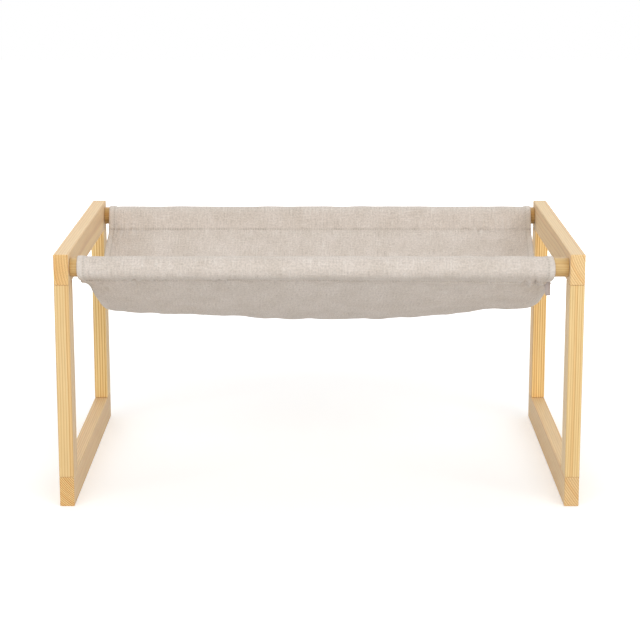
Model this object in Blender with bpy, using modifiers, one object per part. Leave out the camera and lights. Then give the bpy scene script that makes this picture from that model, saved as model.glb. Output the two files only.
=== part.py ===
# Wooden cat bed: two side frames of pine battens, two round crossbars that join them,
# and a canvas sling whose sleeves hang on the crossbars.
# Sizes are in metres. +X is to the right, -Y is the front and +Z is up.
# The origin is on the floor, under the middle of the bed.
import math

import bmesh
import bpy
from mathutils import Euler, Vector

# Overall sizes
BED_WIDTH = 0.600
BED_DEPTH = 0.400
BED_HEIGHT = 0.296

# Battens of the side frames: rails run front to back, legs stand between them
BATTEN_THICKNESS = 0.017
BATTEN_BREADTH = 0.035
BATTEN_ROUNDING = 0.0012
JOINT_EDGE_ROUNDING = 0.0004
ROUNDING_SEGMENTS = 2

# Hairline between faces that touch, and round a pin or bolt in its hole
FACE_GAP = 0.0003
HOLE_CLEARANCE = 0.0003

# Crossbars: round bars between the top rails
CROSSBAR_DIAMETER = 0.022
CROSSBAR_CHAMFER = 0.0006
CROSSBAR_SIDES = 32

# Wooden pins, two in each joint of a leg and a rail
PIN_DIAMETER = 0.006
PIN_LENGTH = 0.028
PIN_SPACING = 0.018
PIN_CHAMFER = 0.0008
PIN_SIDES = 16

# Bolts through the top rails into the ends of the crossbars
BOLT_DIAMETER = 0.006
BOLT_LENGTH = 0.040
BOLT_TIP_CHAMFER = 0.001
BOLT_HEAD_DIAMETER = 0.013
BOLT_HEAD_HEIGHT = 0.003
BOLT_HEAD_ROUNDING = 0.0008
BOLT_HEAD_SINK = 0.0005
BOLT_HEAD_ROOM = 0.0005
BOLT_TIP_ROOM = 0.002
SOCKET_ACROSS_FLATS = 0.004
SOCKET_DEPTH = 0.002
BOLT_SIDES = 20

# Threaded inserts in the ends of the crossbars
INSERT_DIAMETER = 0.010
INSERT_LENGTH = 0.020
INSERT_RIB_DEPTH = 0.0005
INSERT_RIBS = 4

# Sling: one piece of canvas with a sleeve along its front and rear edges
CANVAS_THICKNESS = 0.001
SEAM_DROP = 0.0195
SEAM_INSET = 0.008
FRONT_SLEEVE_LEFT_GAP = 0.011
FRONT_SLEEVE_RIGHT_GAP = 0.017
REAR_SLEEVE_GAP = 0.0055
SLEEVE_ARC_STEPS = 16
SAG_DEPTH = 0.078
SAG_POWER = 1.7
LEFT_EDGE_LIFT = 0.013
RIGHT_EDGE_LIFT = 0.018
EDGE_LIFT_POWER = 1.7
LEFT_EDGE_BOW = 0.0155
RIGHT_EDGE_BOW = 0.009
EDGE_BOW_POWER = 6
PANEL_COLUMNS = 22
PANEL_ROWS = 18

# Places that follow from the sizes
INNER_FACE = BED_WIDTH / 2 - BATTEN_THICKNESS
FRAME_CENTRE = BED_WIDTH / 2 - BATTEN_THICKNESS / 2
LEG_CENTRE = BED_DEPTH / 2 - BATTEN_BREADTH / 2
LEG_HEIGHT = BED_HEIGHT - 2 * BATTEN_BREADTH - 2 * FACE_GAP
TOP_RAIL_CENTRE = BED_HEIGHT - BATTEN_BREADTH / 2
TOP_JOINT = BED_HEIGHT - BATTEN_BREADTH
BOTTOM_JOINT = BATTEN_BREADTH
CROSSBAR_LENGTH = 2 * (INNER_FACE - FACE_GAP)
COUNTERBORE_DEPTH = BOLT_HEAD_SINK + BOLT_HEAD_HEIGHT + FACE_GAP
BOLT_TIP = BED_WIDTH / 2 - COUNTERBORE_DEPTH + FACE_GAP - BOLT_LENGTH

SIDES = {"left": -1, "right": 1}
ENDS = {"front": -1, "rear": 1}


def make_material(name, colour, roughness, metallic=0.0):
    """A Principled material of one colour."""
    material = bpy.data.materials.new(name)
    material.use_nodes = True
    shader = material.node_tree.nodes["Principled BSDF"]
    shader.inputs["Base Color"].default_value = (*colour, 1.0)
    shader.inputs["Roughness"].default_value = roughness
    shader.inputs["Metallic"].default_value = metallic
    return material


def move_to(collection, piece):
    """Puts a new object in one collection only."""
    for other in piece.users_collection:
        other.objects.unlink(piece)
    collection.objects.link(piece)


def finish_piece(piece, name, material):
    """Names a piece, gives it its material and puts it in the bed's collection."""
    piece.name = name
    piece.data.name = name
    piece.data.materials.clear()
    piece.data.materials.append(material)
    move_to(bed, piece)
    return piece


def turn_to_x(side):
    """Rotation that lays a piece's +Z along the outward X of a side."""
    return Euler((0, side * math.pi / 2, 0))


def make_cutter(name, diameter, depth, location, rotation=(0, 0, 0), sides=BOLT_SIDES):
    """A cylinder that a Boolean takes away; its middle is at the location."""
    bpy.ops.mesh.primitive_cylinder_add(
        vertices=sides, radius=diameter / 2, depth=depth, location=location, rotation=rotation
    )
    cutter = bpy.context.object
    cutter.name = name
    cutter.hide_render = True
    cutter.display_type = "WIRE"
    move_to(cutters, cutter)
    return cutter


def cut_away(piece, cutter):
    """Takes a cutter's shape out of a piece."""
    cut = piece.modifiers.new(cutter.name, "BOOLEAN")
    cut.operation = "DIFFERENCE"
    cut.solver = "EXACT"
    cut.object = cutter


def shade_round(piece):
    """Smooth shading with sharp edges kept."""
    piece.data.shade_smooth()
    piece.data.set_sharp_from_angle(angle=math.radians(35))


def round_edges(mesh, edges, radius, segments):
    """Eases some edges of a batten."""
    bmesh.ops.bevel(
        mesh, geom=edges, offset=radius, segments=segments, affect="EDGES", profile=0.5
    )


def batten(name, size, location, joint_sides):
    """A pine batten; joint_sides names its faces, below (-1) or above (1), that meet another.

    The edges of a face that meets another batten are barely eased, so that the joint shows as
    a fine line. All its other edges are rounded.
    """
    bpy.ops.mesh.primitive_cube_add(size=1, location=location)
    piece = bpy.context.object
    mesh = bmesh.new()
    mesh.from_mesh(piece.data)
    bmesh.ops.scale(mesh, vec=size, verts=mesh.verts)

    def in_joint_face(edge):
        heights = [vertex.co.z for vertex in edge.verts]
        return any(
            all(abs(height - side * size[2] / 2) < FACE_GAP for height in heights)
            for side in joint_sides
        )

    outer_edges = [edge for edge in mesh.edges if not in_joint_face(edge)]
    round_edges(mesh, outer_edges, BATTEN_ROUNDING, ROUNDING_SEGMENTS)
    joint_edges = [edge for edge in mesh.edges if in_joint_face(edge)]
    round_edges(mesh, joint_edges, JOINT_EDGE_ROUNDING, 1)
    mesh.to_mesh(piece.data)
    mesh.free()
    return finish_piece(piece, name, pine)


def turned_piece(name, profile, closed, sides, material):
    """A profile of (radius, height) points turned round Z, down its outer side."""
    mesh = bpy.data.meshes.new(name)
    count = len(profile)
    edges = [(index, index + 1) for index in range(count - 1)]
    if closed:
        edges.append((count - 1, 0))
    mesh.from_pydata([(radius, 0, height) for radius, height in profile], edges, [])
    piece = bpy.data.objects.new(name, mesh)
    bed.objects.link(piece)
    screw = piece.modifiers.new("turn", "SCREW")
    screw.axis = "Z"
    screw.steps = sides
    screw.render_steps = sides
    screw.use_merge_vertices = True
    screw.merge_threshold = 0.00001
    screw.use_smooth_shade = False
    mesh.materials.append(material)
    return piece


def pin(name, location):
    """A wooden pin with chamfered ends, standing in the two holes of its joint."""
    radius = PIN_DIAMETER / 2
    end = PIN_LENGTH / 2
    profile = [
        (0, end),
        (radius - PIN_CHAMFER, end),
        (radius, end - PIN_CHAMFER),
        (radius, -end + PIN_CHAMFER),
        (radius - PIN_CHAMFER, -end),
        (0, -end),
    ]
    piece = turned_piece(name, profile, False, PIN_SIDES, beech)
    piece.location = location
    return piece


def pin_places(side, end, joint_height):
    """Middles of the two pins of one joint."""
    for letter, shift in (("a", -PIN_SPACING / 2), ("b", PIN_SPACING / 2)):
        yield letter, Vector((side * FRAME_CENTRE, end * LEG_CENTRE + shift, joint_height))


def drill_for_pins(piece, side, end, joint_height, label):
    """Holes for the two pins of one joint, in the leg or the rail."""
    for letter, place in pin_places(side, end, joint_height):
        hole = make_cutter(
            f"hole_{label}_{letter}",
            PIN_DIAMETER + 2 * HOLE_CLEARANCE,
            PIN_LENGTH + 2 * HOLE_CLEARANCE,
            place,
            sides=PIN_SIDES,
        )
        cut_away(piece, hole)


def bolt(name, side, end):
    """A bolt with a low round head and a hexagon socket, lying along X."""
    head = BOLT_HEAD_DIAMETER / 2
    shank = BOLT_DIAMETER / 2
    profile = [
        (0, BOLT_HEAD_HEIGHT),
        (head - BOLT_HEAD_ROUNDING, BOLT_HEAD_HEIGHT),
        (head, BOLT_HEAD_HEIGHT - BOLT_HEAD_ROUNDING),
        (head, 0),
        (shank, 0),
        (shank, -BOLT_LENGTH + BOLT_TIP_CHAMFER),
        (shank - BOLT_TIP_CHAMFER, -BOLT_LENGTH),
        (0, -BOLT_LENGTH),
    ]
    piece = turned_piece(name, profile, False, BOLT_SIDES, steel)
    under_head = BED_WIDTH / 2 - BOLT_HEAD_SINK - BOLT_HEAD_HEIGHT
    piece.location = (side * under_head, end * LEG_CENTRE, TOP_RAIL_CENTRE)
    piece.rotation_euler = turn_to_x(side)
    socket = make_cutter(
        f"socket_{name}",
        SOCKET_ACROSS_FLATS / math.cos(math.pi / 6),
        2 * SOCKET_DEPTH,
        (side * (under_head + BOLT_HEAD_HEIGHT), end * LEG_CENTRE, TOP_RAIL_CENTRE),
        turn_to_x(side),
        sides=6,
    )
    cut_away(piece, socket)
    return piece


def drill_for_bolt(rail, side, end, label):
    """The bolt's clearance hole through a top rail, with a counterbore for its head."""
    centre = Vector((side * FRAME_CENTRE, end * LEG_CENTRE, TOP_RAIL_CENTRE))
    hole = make_cutter(
        f"bolt_hole_{label}",
        BOLT_DIAMETER + 2 * HOLE_CLEARANCE,
        2 * BATTEN_THICKNESS,
        centre,
        turn_to_x(side),
    )
    counterbore = make_cutter(
        f"counterbore_{label}",
        BOLT_HEAD_DIAMETER + 2 * BOLT_HEAD_ROOM,
        2 * COUNTERBORE_DEPTH,
        (side * BED_WIDTH / 2, centre.y, centre.z),
        turn_to_x(side),
    )
    cut_away(rail, hole)
    cut_away(rail, counterbore)


def insert(name, side, end):
    """A threaded insert: a ribbed tube in the end of a crossbar."""
    outer = INSERT_DIAMETER / 2
    root = outer - INSERT_RIB_DEPTH
    bore = BOLT_DIAMETER / 2 + HOLE_CLEARANCE
    quarter = INSERT_LENGTH / INSERT_RIBS / 4
    profile = [(root, 0)]
    for rib in range(INSERT_RIBS):
        top = -4 * rib * quarter
        profile.append((outer, top - quarter))
        profile.append((outer, top - 2 * quarter))
        profile.append((root, top - 3 * quarter))
    profile.append((root, -INSERT_LENGTH))
    profile.append((bore, -INSERT_LENGTH))
    profile.append((bore, 0))
    piece = turned_piece(name, profile, True, BOLT_SIDES, steel)
    piece.location = (side * CROSSBAR_LENGTH / 2, end * LEG_CENTRE, TOP_RAIL_CENTRE)
    piece.rotation_euler = turn_to_x(side)
    return piece


def crossbar(name, end):
    """A round bar with chamfered ends, drilled at both ends for an insert and the bolt's tip."""
    bpy.ops.mesh.primitive_cylinder_add(
        vertices=CROSSBAR_SIDES,
        radius=CROSSBAR_DIAMETER / 2,
        depth=CROSSBAR_LENGTH,
        location=(0, end * LEG_CENTRE, TOP_RAIL_CENTRE),
        rotation=turn_to_x(1),
    )
    piece = bpy.context.object
    chamfer = piece.modifiers.new("chamfer", "BEVEL")
    chamfer.width = CROSSBAR_CHAMFER
    chamfer.segments = 1
    chamfer.limit_method = "ANGLE"
    chamfer.angle_limit = math.radians(60)
    tip_hole_depth = CROSSBAR_LENGTH / 2 - BOLT_TIP + BOLT_TIP_ROOM
    for side_name, side in SIDES.items():
        mouth = (side * CROSSBAR_LENGTH / 2, end * LEG_CENTRE, TOP_RAIL_CENTRE)
        insert_hole = make_cutter(
            f"insert_hole_{name}_{side_name}",
            INSERT_DIAMETER + 2 * HOLE_CLEARANCE,
            2 * (INSERT_LENGTH + HOLE_CLEARANCE),
            mouth,
            turn_to_x(side),
        )
        tip_hole = make_cutter(
            f"tip_hole_{name}_{side_name}",
            BOLT_DIAMETER + 2 * HOLE_CLEARANCE,
            2 * tip_hole_depth,
            mouth,
            turn_to_x(side),
        )
        cut_away(piece, insert_hole)
        cut_away(piece, tip_hole)
    shade_round(piece)
    return finish_piece(piece, name, pine)


def drop_points(radius, tip_distance, end):
    """A drop outline round a crossbar: an arc, and a tip that points down and inward.

    The two straight flanks touch the arc where the radius is square to them, which is at
    acos(radius / tip distance) on either side of the tip's direction.
    """
    tip_angle = math.atan2(-SEAM_DROP, -end * SEAM_INSET)
    tangent = math.acos(radius / tip_distance)
    sweep = 2 * (math.pi - tangent)
    points = []
    for step in range(SLEEVE_ARC_STEPS + 1):
        angle = tip_angle + tangent + sweep * step / SLEEVE_ARC_STEPS
        points.append((radius * math.cos(angle), radius * math.sin(angle)))
    points.append((tip_distance * math.cos(tip_angle), tip_distance * math.sin(tip_angle)))
    return points


def sleeve(name, end, left, right):
    """The sleeve round one crossbar, from x = left to x = right, as a drop-shaped tube."""
    inner_radius = CROSSBAR_DIAMETER / 2 + HOLE_CLEARANCE
    outer_radius = inner_radius + CANVAS_THICKNESS
    outer_tip = math.hypot(SEAM_DROP, SEAM_INSET)
    inner_tip = outer_tip * inner_radius / outer_radius
    outline = bpy.data.curves.new(name, "CURVE")
    outline.dimensions = "2D"
    outline.fill_mode = "BOTH"
    outline.extrude = (right - left) / 2
    for radius, tip in ((outer_radius, outer_tip), (inner_radius, inner_tip)):
        points = drop_points(radius, tip, end)
        spline = outline.splines.new("POLY")
        spline.points.add(len(points) - 1)
        for point, (along, up) in zip(spline.points, points):
            point.co = (along, up, 0, 1)
        spline.use_cyclic_u = True
    drawing = bpy.data.objects.new(name, outline)
    cutters.objects.link(drawing)
    drawing.location = ((left + right) / 2, end * LEG_CENTRE, TOP_RAIL_CENTRE)
    drawing.rotation_euler = (math.pi / 2, 0, math.pi / 2)
    bpy.context.view_layer.update()
    tube = bpy.data.meshes.new_from_object(
        drawing.evaluated_get(bpy.context.evaluated_depsgraph_get())
    )
    mesh = bmesh.new()
    mesh.from_mesh(tube)
    bmesh.ops.remove_doubles(mesh, verts=mesh.verts, dist=0.00001)
    mesh.to_mesh(tube)
    mesh.free()
    piece = bpy.data.objects.new(name, tube)
    piece.matrix_world = drawing.matrix_world.copy()
    bpy.data.objects.remove(drawing)
    cutters.objects.link(piece)
    piece.hide_render = True
    piece.display_type = "WIRE"
    return piece


def panel_point(across, along):
    """A point of the hanging panel; across runs 0..1 to the right, along 0..1 to the rear.

    Each side edge bows inward by 1 - |t|^power, with t from -1 at the front seam to 1 at the
    rear one. The sag across the bed is 1 - |t|^power too, and it grows shallower from the
    middle towards each side edge.
    """
    sweep = 2 * along - 1
    bow = 1 - abs(sweep) ** EDGE_BOW_POWER
    front_left = -INNER_FACE + FRONT_SLEEVE_LEFT_GAP
    front_right = INNER_FACE - FRONT_SLEEVE_RIGHT_GAP
    rear = INNER_FACE - REAR_SLEEVE_GAP
    left = front_left + (-rear - front_left) * along + LEFT_EDGE_BOW * bow
    right = front_right + (rear - front_right) * along - RIGHT_EDGE_BOW * bow
    from_middle = 2 * across - 1
    lift = RIGHT_EDGE_LIFT if from_middle > 0 else LEFT_EDGE_LIFT
    sag = SAG_DEPTH - lift * abs(from_middle) ** EDGE_LIFT_POWER
    seam_y = LEG_CENTRE - SEAM_INSET + CANVAS_THICKNESS / 2
    seam_z = TOP_RAIL_CENTRE - SEAM_DROP + CANVAS_THICKNESS
    return (
        left + (right - left) * across,
        seam_y * sweep,
        seam_z - sag * (1 - abs(sweep) ** SAG_POWER),
    )


def make_sling():
    """The hanging panel with a sleeve joined to its front and rear edges."""
    bpy.ops.mesh.primitive_grid_add(
        x_subdivisions=PANEL_COLUMNS, y_subdivisions=PANEL_ROWS, size=1
    )
    piece = bpy.context.object
    for vertex in piece.data.vertices:
        vertex.co = panel_point(vertex.co.x + 0.5, vertex.co.y + 0.5)
    wall = piece.modifiers.new("canvas", "SOLIDIFY")
    wall.thickness = CANVAS_THICKNESS
    wall.offset = 0
    wall.use_even_offset = True
    front = sleeve(
        "front_sleeve", -1, -INNER_FACE + FRONT_SLEEVE_LEFT_GAP, INNER_FACE - FRONT_SLEEVE_RIGHT_GAP
    )
    rear = sleeve("rear_sleeve", 1, -INNER_FACE + REAR_SLEEVE_GAP, INNER_FACE - REAR_SLEEVE_GAP)
    for part in (front, rear):
        join = piece.modifiers.new(part.name, "BOOLEAN")
        join.operation = "UNION"
        join.solver = "EXACT"
        join.object = part
    piece.data.shade_smooth()
    return finish_piece(piece, "sling", canvas)


for old in list(bpy.data.objects):
    bpy.data.objects.remove(old, do_unlink=True)

bed = bpy.data.collections.new("cat_bed")
cutters = bpy.data.collections.new("cutters")
bpy.context.scene.collection.children.link(bed)
bpy.context.scene.collection.children.link(cutters)

pine = make_material("pine", (0.78, 0.56, 0.30), 0.55)
beech = make_material("beech", (0.70, 0.50, 0.32), 0.60)
steel = make_material("zinc_plated_steel", (0.62, 0.62, 0.60), 0.35, 1.0)
canvas = make_material("linen_canvas", (0.68, 0.62, 0.54), 0.90)

leg_size = (BATTEN_THICKNESS, BATTEN_BREADTH, LEG_HEIGHT)
rail_size = (BATTEN_THICKNESS, BED_DEPTH, BATTEN_BREADTH)

for side_name, side in SIDES.items():
    x = side * FRAME_CENTRE
    top_rail = batten(f"{side_name}_top_rail", rail_size, (x, 0, TOP_RAIL_CENTRE), [-1])
    bottom_rail = batten(f"{side_name}_bottom_rail", rail_size, (x, 0, BATTEN_BREADTH / 2), [1])
    for end_name, end in ENDS.items():
        corner = f"{side_name}_{end_name}"
        leg = batten(f"{corner}_leg", leg_size, (x, end * LEG_CENTRE, BED_HEIGHT / 2), [-1, 1])
        for level, rail, height in (
            ("top", top_rail, TOP_JOINT),
            ("bottom", bottom_rail, BOTTOM_JOINT),
        ):
            drill_for_pins(rail, side, end, height, f"{corner}_{level}_rail")
            drill_for_pins(leg, side, end, height, f"{corner}_{level}_leg")
            for letter, place in pin_places(side, end, height):
                pin(f"{corner}_{level}_pin_{letter}", place)
        drill_for_bolt(top_rail, side, end, corner)
        bolt(f"{corner}_bolt", side, end)
        insert(f"{corner}_insert", side, end)

for end_name, end in ENDS.items():
    crossbar(f"{end_name}_crossbar", end)

make_sling()
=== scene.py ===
# %% [markdown]
# A wooden cat bed with a canvas sling.
# Two side frames of pine battens stand left and right, two round crossbars join them, and a
# sling of undyed canvas hangs on the crossbars by a sleeve along its front and its rear edge.
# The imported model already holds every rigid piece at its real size. This lesson dresses it:
# wood grain and metal for the rigid pieces, a studio round it, and a new sling with the real
# thickness, creases, hems and stitches of cloth.

# %% Load the model
import math

import bmesh
import bpy
import numpy as np
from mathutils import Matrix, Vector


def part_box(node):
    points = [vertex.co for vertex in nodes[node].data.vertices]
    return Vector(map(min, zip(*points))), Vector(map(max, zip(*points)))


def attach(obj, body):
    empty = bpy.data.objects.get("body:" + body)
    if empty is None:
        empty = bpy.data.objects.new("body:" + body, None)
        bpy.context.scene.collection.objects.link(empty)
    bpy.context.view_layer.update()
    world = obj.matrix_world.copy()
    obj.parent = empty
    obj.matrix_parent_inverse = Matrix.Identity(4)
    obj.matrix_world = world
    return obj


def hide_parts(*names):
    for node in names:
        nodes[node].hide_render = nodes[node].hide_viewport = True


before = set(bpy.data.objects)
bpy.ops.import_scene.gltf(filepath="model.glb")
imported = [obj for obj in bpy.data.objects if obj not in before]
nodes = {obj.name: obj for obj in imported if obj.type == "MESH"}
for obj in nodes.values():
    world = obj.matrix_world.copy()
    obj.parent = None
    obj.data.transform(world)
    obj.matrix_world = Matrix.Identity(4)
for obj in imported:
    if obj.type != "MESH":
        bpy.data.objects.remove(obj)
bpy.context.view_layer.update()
print("pieces in the model:", len(nodes))

# %% [markdown]
# Everything new has to fit what the model already fixes, so the places that matter are read
# from the model instead of being typed again: the round bars that carry the cloth, and the
# inner faces of the rails that stand beside it. A box of a piece gives its lowest and its
# highest corner, which is enough for pieces that lie square to the axes.

# %% Places read from the model
MM = 0.001
bar_low, bar_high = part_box("front_crossbar")
BAR_RADIUS = (bar_high.z - bar_low.z) / 2
BAR_HEIGHT = (bar_high.z + bar_low.z) / 2
BAR_DEPTH = -(bar_high.y + bar_low.y) / 2
BAR_END = bar_high.x
ENDS = {"front": -1, "rear": 1}
SIDES = {"left": -1, "right": 1}
print("bar diameter", round(2000 * BAR_RADIUS, 1), "mm, length", round(2000 * BAR_END, 1), "mm")

# %% [markdown]
# The camera comes early, because it decides which details will be seen. The bed was
# photographed from the front and a little above, from about two and a half metres away with a
# long lens, so the side frames hardly seem to lean together. Looking down at the bed by
# tilting the camera keeps the bed in the middle of the picture when the camera is later moved
# round it, which a shifted lens would not.

# %% Camera
CAMERA_PLACE = (0.0019, -2.361, 0.692)
CAMERA_TILT = 12.30
CAMERA_TURN = 0.03
FOCAL_LENGTH = 109.8
SENSOR_WIDTH = 36.0

lens = bpy.data.cameras.new("camera")
lens.lens = FOCAL_LENGTH
lens.sensor_width = SENSOR_WIDTH
camera = bpy.data.objects.new("camera", lens)
camera.location = CAMERA_PLACE
camera.rotation_euler = (math.radians(90 - CAMERA_TILT), 0, math.radians(CAMERA_TURN))
bpy.context.scene.collection.objects.link(camera)
bpy.context.scene.camera = camera
bpy.context.scene.view_settings.view_transform = "Standard"
print("field of view", round(math.degrees(2 * math.atan(SENSOR_WIDTH / 2 / FOCAL_LENGTH)), 1))

# %% [markdown]
# Materials here are recipes of nodes. Drawn by hand they are hard to read, and built one node
# and one link at a time in a script they are long. Two small classes shorten them: a Wire is a
# value on its way through the shader, and adding or multiplying wires adds the Math nodes; a
# Recipe makes any other node in one call, its settings first and then its inputs.

# %% Shader helpers
class Wire:
    """A value on its way through a shader. Arithmetic on it adds Math nodes."""

    def __init__(self, recipe, socket):
        self.recipe = recipe
        self.socket = socket

    def math(self, operation, *others):
        """One Math node on this wire and on other wires or numbers."""
        return self.recipe.node("ShaderNodeMath", {"operation": operation}, (self, *others))

    def output(self, name):
        """Another output of the node that this wire comes from."""
        return Wire(self.recipe, self.socket.node.outputs[name])

    def __add__(self, other):
        return self.math("ADD", other)

    def __sub__(self, other):
        return self.math("SUBTRACT", other)

    def __rsub__(self, other):
        return self.recipe.node("ShaderNodeMath", {"operation": "SUBTRACT"}, (other, self))

    def __mul__(self, other):
        return self.math("MULTIPLY", other)

    def __truediv__(self, other):
        return self.math("DIVIDE", other)

    __radd__ = __add__
    __rmul__ = __mul__


class Recipe:
    """Makes the nodes of one material or of the world."""

    def __init__(self, tree):
        self.tree = tree
        self.shader = tree.nodes.get("Principled BSDF")

    def node(self, kind, settings=None, inputs=(), output=0):
        """Adds a node: its settings first, then values or wires for its sockets."""
        made = self.tree.nodes.new(kind)
        for name, value in (settings or {}).items():
            if name == "stops":
                self.set_stops(made.color_ramp, value)
            else:
                setattr(made, name, value)
        pairs = inputs.items() if isinstance(inputs, dict) else enumerate(inputs)
        for key, value in pairs:
            self.feed(made.inputs[key], value)
        return Wire(self, made.outputs[output])

    def feed(self, socket, value):
        """Links a wire to a socket, or sets the socket's own value."""
        if isinstance(value, Wire):
            self.tree.links.new(value.socket, socket)
        else:
            socket.default_value = value

    def set_stops(self, ramp, stops):
        """Gives a colour ramp its (position, grey or colour) stops, with smooth steps."""
        ramp.interpolation = "EASE"
        while len(ramp.elements) < len(stops):
            ramp.elements.new(1.0)
        for element, (position, value) in zip(ramp.elements, stops):
            colour = value if isinstance(value, tuple) else (value, value, value)
            element.position = position
            element.color = (*colour, 1.0)

    def ramp(self, value, *stops):
        """A value looked up in a ramp of greys or colours."""
        return self.node("ShaderNodeValToRGB", {"stops": stops}, [value])

    def mix(self, share, first, second, blend="MIX"):
        """Mixes two colours; share 0 is the first."""
        settings = {"data_type": "RGBA", "blend_type": blend, "clamp_factor": True}
        first, second = (
            value if isinstance(value, Wire) else (*value, 1.0) for value in (first, second)
        )
        return self.node("ShaderNodeMix", settings, {0: share, 6: first, 7: second}, 2)

    def times(self, colour, shade):
        """A colour multiplied by a shade."""
        return self.mix(1.0, colour, shade, "MULTIPLY")

    def position(self):
        """Where each point of a piece lies, in metres."""
        return self.node("ShaderNodeTexCoord", output="Object")

    def scaled(self, place, scale, shift=(0, 0, 0)):
        """A place stretched along its axes and then shifted."""
        inputs = {"Vector": place, "Location": shift, "Scale": scale}
        return self.node("ShaderNodeMapping", {"vector_type": "POINT"}, inputs)

    def noise(self, place, scale, shift=(0, 0, 0), detail=2.0):
        """Smooth noise between 0 and 1, with so many features in a metre along each axis."""
        inputs = {"Vector": self.scaled(place, scale, shift), "Scale": 1.0, "Detail": detail}
        return self.node("ShaderNodeTexNoise", {}, inputs)

    def finish(self, colour, roughness, height, depth, strength):
        """Feeds the shader a colour, a roughness and the bumps of a height so many metres deep."""
        bump = {"Strength": strength, "Distance": depth, "Height": height}
        self.feed(self.shader.inputs["Base Color"], colour)
        self.feed(self.shader.inputs["Roughness"], roughness)
        self.feed(self.shader.inputs["Normal"], self.node("ShaderNodeBump", {}, bump, "Normal"))


def new_material(name, **constants):
    """A Principled material; constants are socket values that are the same everywhere."""
    material = bpy.data.materials.new(name)
    material.use_nodes = True
    recipe = Recipe(material.node_tree)
    for socket, value in constants.items():
        recipe.shader.inputs[socket.replace("_", " ")].default_value = value
    return material, recipe


print("shader helpers ready")

# %% [markdown]
# The studio is a white floor under a white surround. The background of the photograph is pure
# white, which must not come from flooding the bed with light, so the surround is white only
# for rays that the camera, a reflection or a transparent surface sends out, and dimmer for the
# light that falls on the bed. The floor adds some white of its own for the camera alone, little
# near the bed and more far away, so it keeps the bed's soft shadow and melts into the surround.

# %% World and floor
AMBIENT_STRENGTH = 0.57
AMBIENT_COLOUR = (1.0, 0.985, 0.965)
WHITE = (1.0, 1.0, 1.0)
BLACK = (0.0, 0.0, 0.0)
FLOOR_SIZE = 12.0
FLOOR_FINISH = {
    "Base_Color": (0.86, 0.86, 0.86, 1.0),
    "Roughness": 0.9,
    "Specular_IOR_Level": 0.0,
    "Emission_Strength": 1.0,
}
FLOOR_GLOW = [(0.10, 0.34), (0.45, 1.0)]
GLOW_REACH = 4.0


def make_world():
    """White for camera, glossy and transmission rays, a plain pale grey for all others."""
    world = bpy.data.worlds.new("studio")
    world.use_nodes = True
    bpy.context.scene.world = world
    recipe = Recipe(world.node_tree)
    path = recipe.node("ShaderNodeLightPath", output="Is Camera Ray")
    seen = path.math("MAXIMUM", path.output("Is Glossy Ray"))
    seen = seen.math("MAXIMUM", path.output("Is Transmission Ray"))
    background = world.node_tree.nodes["Background"]
    recipe.feed(background.inputs["Color"], recipe.mix(seen, AMBIENT_COLOUR, WHITE))
    recipe.feed(background.inputs["Strength"], AMBIENT_STRENGTH + seen * (1 - AMBIENT_STRENGTH))


def make_floor():
    """A large level square whose white glow only the camera sees."""
    half = FLOOR_SIZE / 2
    corners = [(-half, -half, 0), (half, -half, 0), (half, half, 0), (-half, half, 0)]
    mesh = bpy.data.meshes.new("floor")
    mesh.from_pydata(corners, [], [(0, 1, 2, 3)])
    floor = bpy.data.objects.new("floor", mesh)
    bpy.context.scene.collection.objects.link(floor)
    material, recipe = new_material("floor_white", **FLOOR_FINISH)
    place = recipe.position()
    distance = recipe.node("ShaderNodeVectorMath", {"operation": "LENGTH"}, [place], "Value")
    glow = recipe.ramp(distance / GLOW_REACH, *FLOOR_GLOW)
    seen = recipe.node("ShaderNodeLightPath", output="Is Camera Ray")
    recipe.feed(recipe.shader.inputs["Emission Color"], recipe.mix(seen, BLACK, glow))
    mesh.materials.append(material)


make_world()
make_floor()
print("floor", FLOOR_SIZE, "m wide")

# %% [markdown]
# Product pictures like this one are lit softly: a wide softbox above and in front gives the
# bright front faces and the pale tops of the rails, and the dim surround fills the rest. One
# lamp would do for the shape, but the two sides of the photograph are lit alike, so a pair of
# broad lamps stands in front, left and right of the camera. A weaker third one hangs high
# behind the bed, for its top faces and for its back when it is turned round.

# %% Lamps
# Each lamp: where it stands, its width and height, and its power
LAMPS = {
    "front_left_softbox": ((-2.9, -4.6, 3.2), (4.6, 3.8), 109.0),
    "front_right_softbox": ((3.1, -4.6, 3.2), (4.6, 3.8), 139.0),
    "rear_softbox": ((0.0, 2.8, 3.8), (3.6, 2.6), 42.0),
}
LAMP_COLOUR = (0.98, 0.99, 1.0)
LAMP_AIM = (0.0, 0.0, 0.2)


def make_lamp(name, place, size, power):
    """A rectangular lamp that looks at the middle of the bed."""
    lamp = bpy.data.lights.new(name, "AREA")
    lamp.shape = "RECTANGLE"
    lamp.size, lamp.size_y = size
    lamp.energy = power
    lamp.color = LAMP_COLOUR
    holder = bpy.data.objects.new(name, lamp)
    holder.location = place
    toward = Vector((np.array(LAMP_AIM) - place).tolist())
    holder.rotation_euler = toward.to_track_quat("-Z", "Y").to_euler()
    bpy.context.scene.collection.objects.link(holder)


for name, (place, size, power) in LAMPS.items():
    make_lamp(name, place, size, power)
print("lamps:", ", ".join(LAMPS))

# %% [markdown]
# Pine is a bundle of yearly rings. Each ring is wide pale earlywood that darkens slowly and
# ends in a narrow orange line of latewood. A picture of wood wrapped round a batten would not
# match where its faces meet, so the rings are worked out in space: they are cylinders round
# the pith of the tree, which lies outside the batten, and each face simply cuts them. Long
# faces then show lines along the grain, and the ends show slanting arcs, as the photograph
# does. The battens differ in where their pith was, in how wide the rings are and in tone.
# Planed wood is smooth but not glossy. Its cut fibres scatter light that grazes them, so the
# finish is a thin dull coat, which gives a little gloss, and a soft sheen, which brightens the
# faces that are seen at a flat angle.

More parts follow.
